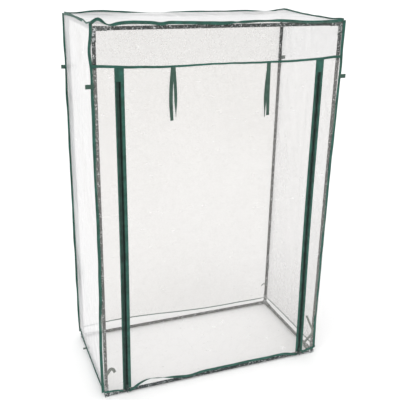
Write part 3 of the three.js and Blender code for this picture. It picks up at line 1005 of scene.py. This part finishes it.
def build_pulls():
    """A flat tab with rounded edges and a hole for the bail, narrower below."""
    for side in SIDES:
        low, high = corners(f"zip_pull_{side}")
        centre = (low + high) / 2
        half_width, hole = (high[0] - low[0]) / 2, 1.9 * MM
        heart = high[2] - 3.6 * MM
        count = 40
        turn = np.linspace(0, 2 * math.pi, count, endpoint=False)
        ray = placed(np.cos(turn), np.sin(turn))
        below, above = heart - low[2], high[2] - heart
        reach = np.minimum(
            half_width / np.maximum(np.abs(ray[:, 0]), 1e-6),
            np.where(ray[:, 1] < 0, below, above) / np.maximum(np.abs(ray[:, 1]), 1e-6),
        )
        outer = ray * reach[:, None]
        taper = 1.0 - 0.22 * np.clip(-outer[:, 1] / below, 0, 1)
        outer[:, 0] *= taper
        outer = evened(outer, 2, closed=True)
        rings = []
        thick = (high[1] - low[1]) / 2
        for inset, depth in ((0.35 * MM, -1.0), (0.0, -0.6), (0.0, 0.6), (0.35 * MM, 1.0)):
            length = np.linalg.norm(outer, axis=1)[:, None]
            rings.append((outer * (1 - inset / length), depth))
        for widened, depth in ((0.3 * MM, 1.0), (0.0, 0.6), (0.0, -0.6), (0.3 * MM, -1.0)):
            rings.append((ray * (hole + widened), depth))
        points = np.array([
            (centre[0] + across, centre[1] + depth * thick, heart + up)
            for ring, depth in rings for across, up in ring
        ])
        faces = skin(len(rings), count, closed=True)
        pull = new_piece(f"{side}_zip_pull", points, faces, ["lacquer"], sharp=50)
        settle(pull, "zip_metal", f"pull_{side}", f"zip_pull_{side}")


# ---- ties and tabs
def tail(top, length, drift, bow, twist, seed):
    """A hanging tape's path and across directions: it drifts and bows sideways, and twists at its end."""
    down = np.linspace(0, 1, max(12, int(length / (4 * MM))))
    x = top[0] + drift * down + bow * np.sin(math.pi * down) + 0.5 * MM * wobble(down, seed, 0.7) * down
    y = top[1] - 0.5 * MM * np.sin(2.2 * math.pi * down) * down
    across = tilted(alike(X_AXIS, down), alike(Y_AXIS, down), twist * smooth_step((down - 0.6) / 0.4))
    return placed(x, y, top[2] - length * down), across


def build_door_ties():
    """Two tails each, one over the other at the top, that part lower down."""
    tails = {  # (place, share of the tie's length, width, drift, bow, twist), in millimetres and radians
        "left": [(-2, 0.99, 14.5, -3, -5.5, 0.3), (2.5, 0.93, 12, 9, 2, 1.15)],
        "right": [(-0.5, 0.99, 11, -6, -4, 0.9), (1, 0.96, 15, 6, -1, 0.2)],
    }
    for side in SIDES:
        low, high = corners(f"door_tie_{side}")
        middle_x, face_y = (low[0] + high[0]) / 2, (low[1] + high[1]) / 2
        full = high[2] - low[2]
        knot = tail((middle_x, face_y - 0.7 * MM, high[2]), 0.12 * full, 0.0, 0.0, 0.0, 80)
        strips = [(*knot, 16.5 * MM)]
        for place, share, width, drift, bow, twist in tails[side]:
            top = (middle_x + place * MM, face_y + 0.15 * place / abs(place) * MM, high[2] - 0.5 * MM)
            hung = tail(top, share * full, drift * MM, bow * MM, twist, 81 + int(10 * place))
            strips.append((*hung, width * MM))
        parts = []
        for path, across, width in strips:
            parts.append((*swept(path, across, width, 0.7 * MM, folded=False), 0))
            parts.append((*stitches(path, across, 0.36 * width, 0.36 * MM), None, 1))
        tie = joined(f"{side}_door_tie", parts, ["strap", "thread"])
        settle(tie, "green_strap", f"tie_{side}", f"door_tie_{side}")


def build_corner_tabs():
    """A strap folded back on itself, sewn into the corner binding."""
    sewn, bend = 9 * MM, 0.9 * MM  # how far it lies over the film inside the corner, and its fold's radius
    for end, side in CORNERS:
        sign = SIDES[side]
        node = f"corner_tab_{end}_{side}"
        low, high = corners(node)
        root_x, tip_x = (low[0] - sewn, high[0]) if sign > 0 else (high[0] + sewn, low[0])
        lean = (high[1] - low[1]) - 3.4 * MM if end == "rear" else 0.0
        start_y = low[1] + 1.7 * MM if end == "rear" else (low[1] + high[1]) / 2 - 1.2 * MM
        if (end, side) == ("rear", "left"):
            tip_x += 7 * MM  # it is bent back
        turn = np.linspace(-math.pi / 2, math.pi / 2, 9)
        out = np.linspace(root_x, tip_x - sign * 2.5 * MM, 8)
        x = np.concatenate([out, out[-1] + sign * bend * np.cos(turn), out[::-1]])
        off = np.concatenate([np.full(8, -bend), bend * np.sin(turn), np.full(8, bend)])
        y = start_y + off + lean * np.abs(x - root_x) / abs(tip_x - root_x)
        path = placed(x, y, (low[2] + high[2]) / 2)
        tape(
            f"{end}_{side}_corner_tab", path, alike(Z_AXIS, path), high[2] - low[2], 0.9 * MM, nodes=[node],
            folded=False, stitch_at=(-0.38, 0.38), material="strap", slot="green_strap",
        )


def build_lower_ties():
    """Thin tapes that hold the cover to the frame at its foot. They have no CAD node."""

    def band(name, width, lean, start, steps):
        """steps are the route's points from its start, in millimetres along X and up."""
        route = np.array([(start[0] + x * MM, start[1], start[2] + z * MM) for x, z in steps])
        fine, run = np.linspace(0, 1, 40), np.linspace(0, 1, len(route))
        path = placed(*(np.interp(fine, run, route[:, k]) for k in range(3)))
        tape(
            name, evened(path, 8), alike(lean, path), width * MM, 0.7 * MM, folded=False, stitch_at=(),
            material="faded_strap", slot="green_strap",
        )

    clear = TUBE_RADIUS + 1.2 * MM
    front_left, front_right = (-POST_X, -POST_Y - clear, BASE_Z), (POST_X, -POST_Y - clear, BASE_Z)
    loop = [(-2, 100), (8, 112), (18, 127), (30, 123), (37, 106)]
    band("front_left_lower_tie", 13, (0.3, 0.2, 1.0), front_left, loop)
    upper_tail = [(-2, 106), (-20, 144), (-46, 200)]
    band("front_right_lower_tie_upper_tail", 10, (1.0, 0.0, 0.6), front_right, upper_tail)
    lower_tail = [(-1, 106), (-24, 80), (-52, 52), (-38, 30), (-18, 12)]
    band("front_right_lower_tie_lower_tail", 11, (0.0, 0.3, 1.0), front_right, lower_tail)
    rear_right = (POST_X, POST_Y - clear, BASE_Z)
    band("rear_right_lower_tie", 6, (0.0, 0.0, 1.0), rear_right, [(0, 114), (-20, 118), (-32, 108)])
    on_left_hem = (-FILM_X - 2 * MM, 0.4 * POST_Y, HEM_SEAM_Z)
    band("left_hem_tail", 8, (0.0, 0.6, 1.0), on_left_hem, [(0, 0), (-9, -2), (-16, -1)])


# ---- frame
def lathe(stations, origin, axis, sides=32):
    """A turned shape with capped ends. stations are (distance along the axis, radius)."""
    origin, axis = np.asarray(origin, float), np.asarray(axis, float)
    side = unit(np.cross(axis, X_AXIS if abs(axis[0]) < 0.5 else Y_AXIS))
    off = np.cross(axis, side)
    turn = np.linspace(0, 2 * math.pi, sides, endpoint=False)[:, None]
    circle = side * np.cos(turn) + off * np.sin(turn)
    points = np.concatenate([origin + axis * at + circle * radius for at, radius in stations])
    return points, skin(len(stations), sides)


def build_tubes():
    """Rails with plain ends. A lower post's mouth is swaged out and lipped, and the upper post enters it."""
    for name in frame["nodes"]:
        if not name.startswith(("rail_", "post_")):
            continue
        low, high = corners(name)
        axis_index = int(np.argmax(high - low))
        axis = np.eye(3)[axis_index]
        origin = (low + high) / 2
        origin[axis_index] = low[axis_index]
        length = float((high - low)[axis_index])
        plain = [(0.0, TUBE_RADIUS - 0.4 * MM), (0.4 * MM, TUBE_RADIUS)]
        first = 20 * MM
        close = [(length - 0.4 * MM, TUBE_RADIUS), (length, TUBE_RADIUS - 0.4 * MM)]
        if name.startswith("post_lower"):
            swage = 0.55 * MM
            close = [
                (length - 16 * MM, TUBE_RADIUS),
                (length - 12 * MM, TUBE_RADIUS + swage),
                (length - 1.5 * MM, TUBE_RADIUS + swage),
                (length - 0.8 * MM, TUBE_RADIUS + 1.6 * swage),
                (length, TUBE_RADIUS + swage),
            ]
        if name.startswith("post_upper"):
            spigot, neck = TUBE_RADIUS - 1.3 * MM, 30 * MM
            plain = [(0.0, spigot - 0.4 * MM), (0.4 * MM, spigot)]
            plain += [(neck - 1 * MM, spigot), (neck + 2 * MM, TUBE_RADIUS)]
            first = 50 * MM
        steps = [(at, TUBE_RADIUS) for at in spans(first, length - 20 * MM, 60 * MM)]
        points, faces = lathe(plain + steps + close, origin, axis)
        tube = new_piece(f"{name}_tube", points, faces, ["tube"])
        settle(tube, "steel_tube", "root", name)


def build_connectors():
    """A rounded block with three lipped sleeves."""
    block, sleeve, lip = 9 * MM, 8.5 * MM, 0.6 * MM
    for height, upward in (("bottom", 1), ("top", -1)):
        for end, side in CORNERS:
            node = f"connector_{height}_{end}_{side}"
            low, high = corners(node)
            base = BASE_Z if height == "bottom" else TOP_Z
            heart = np.array([SIDES[side] * POST_X, ENDS[end] * POST_Y, base])
            shapes = [rounded_block(heart - block, heart + block, 2.2 * MM, 4)]
            for index, sign in ((0, -SIDES[side]), (1, -ENDS[end]), (2, upward)):
                reach = abs((high if sign > 0 else low)[index] - heart[index])
                stations = [
                    (block * 0.6, sleeve),
                    (reach - 5 * MM, sleeve),
                    (reach - 4.4 * MM, sleeve + lip),
                    (reach - 0.6 * MM, sleeve + lip),
                    (reach, sleeve),
                ]
                shapes.append(lathe(stations, heart, np.eye(3)[index] * sign))
            parts = [(*shape, None, 0) for shape in shapes]
            connector = joined(f"{node}_moulding", parts, ["connector"])
            settle(connector, "connector_plastic", "root", node)


# ---- the scene
make_camera()
make_studio()
build_film()
build_door()
build_bindings()
build_hem()
build_zips()
build_sliders()
build_pulls()
build_door_ties()
build_corner_tabs()
build_lower_ties()
build_tubes()
build_connectors()
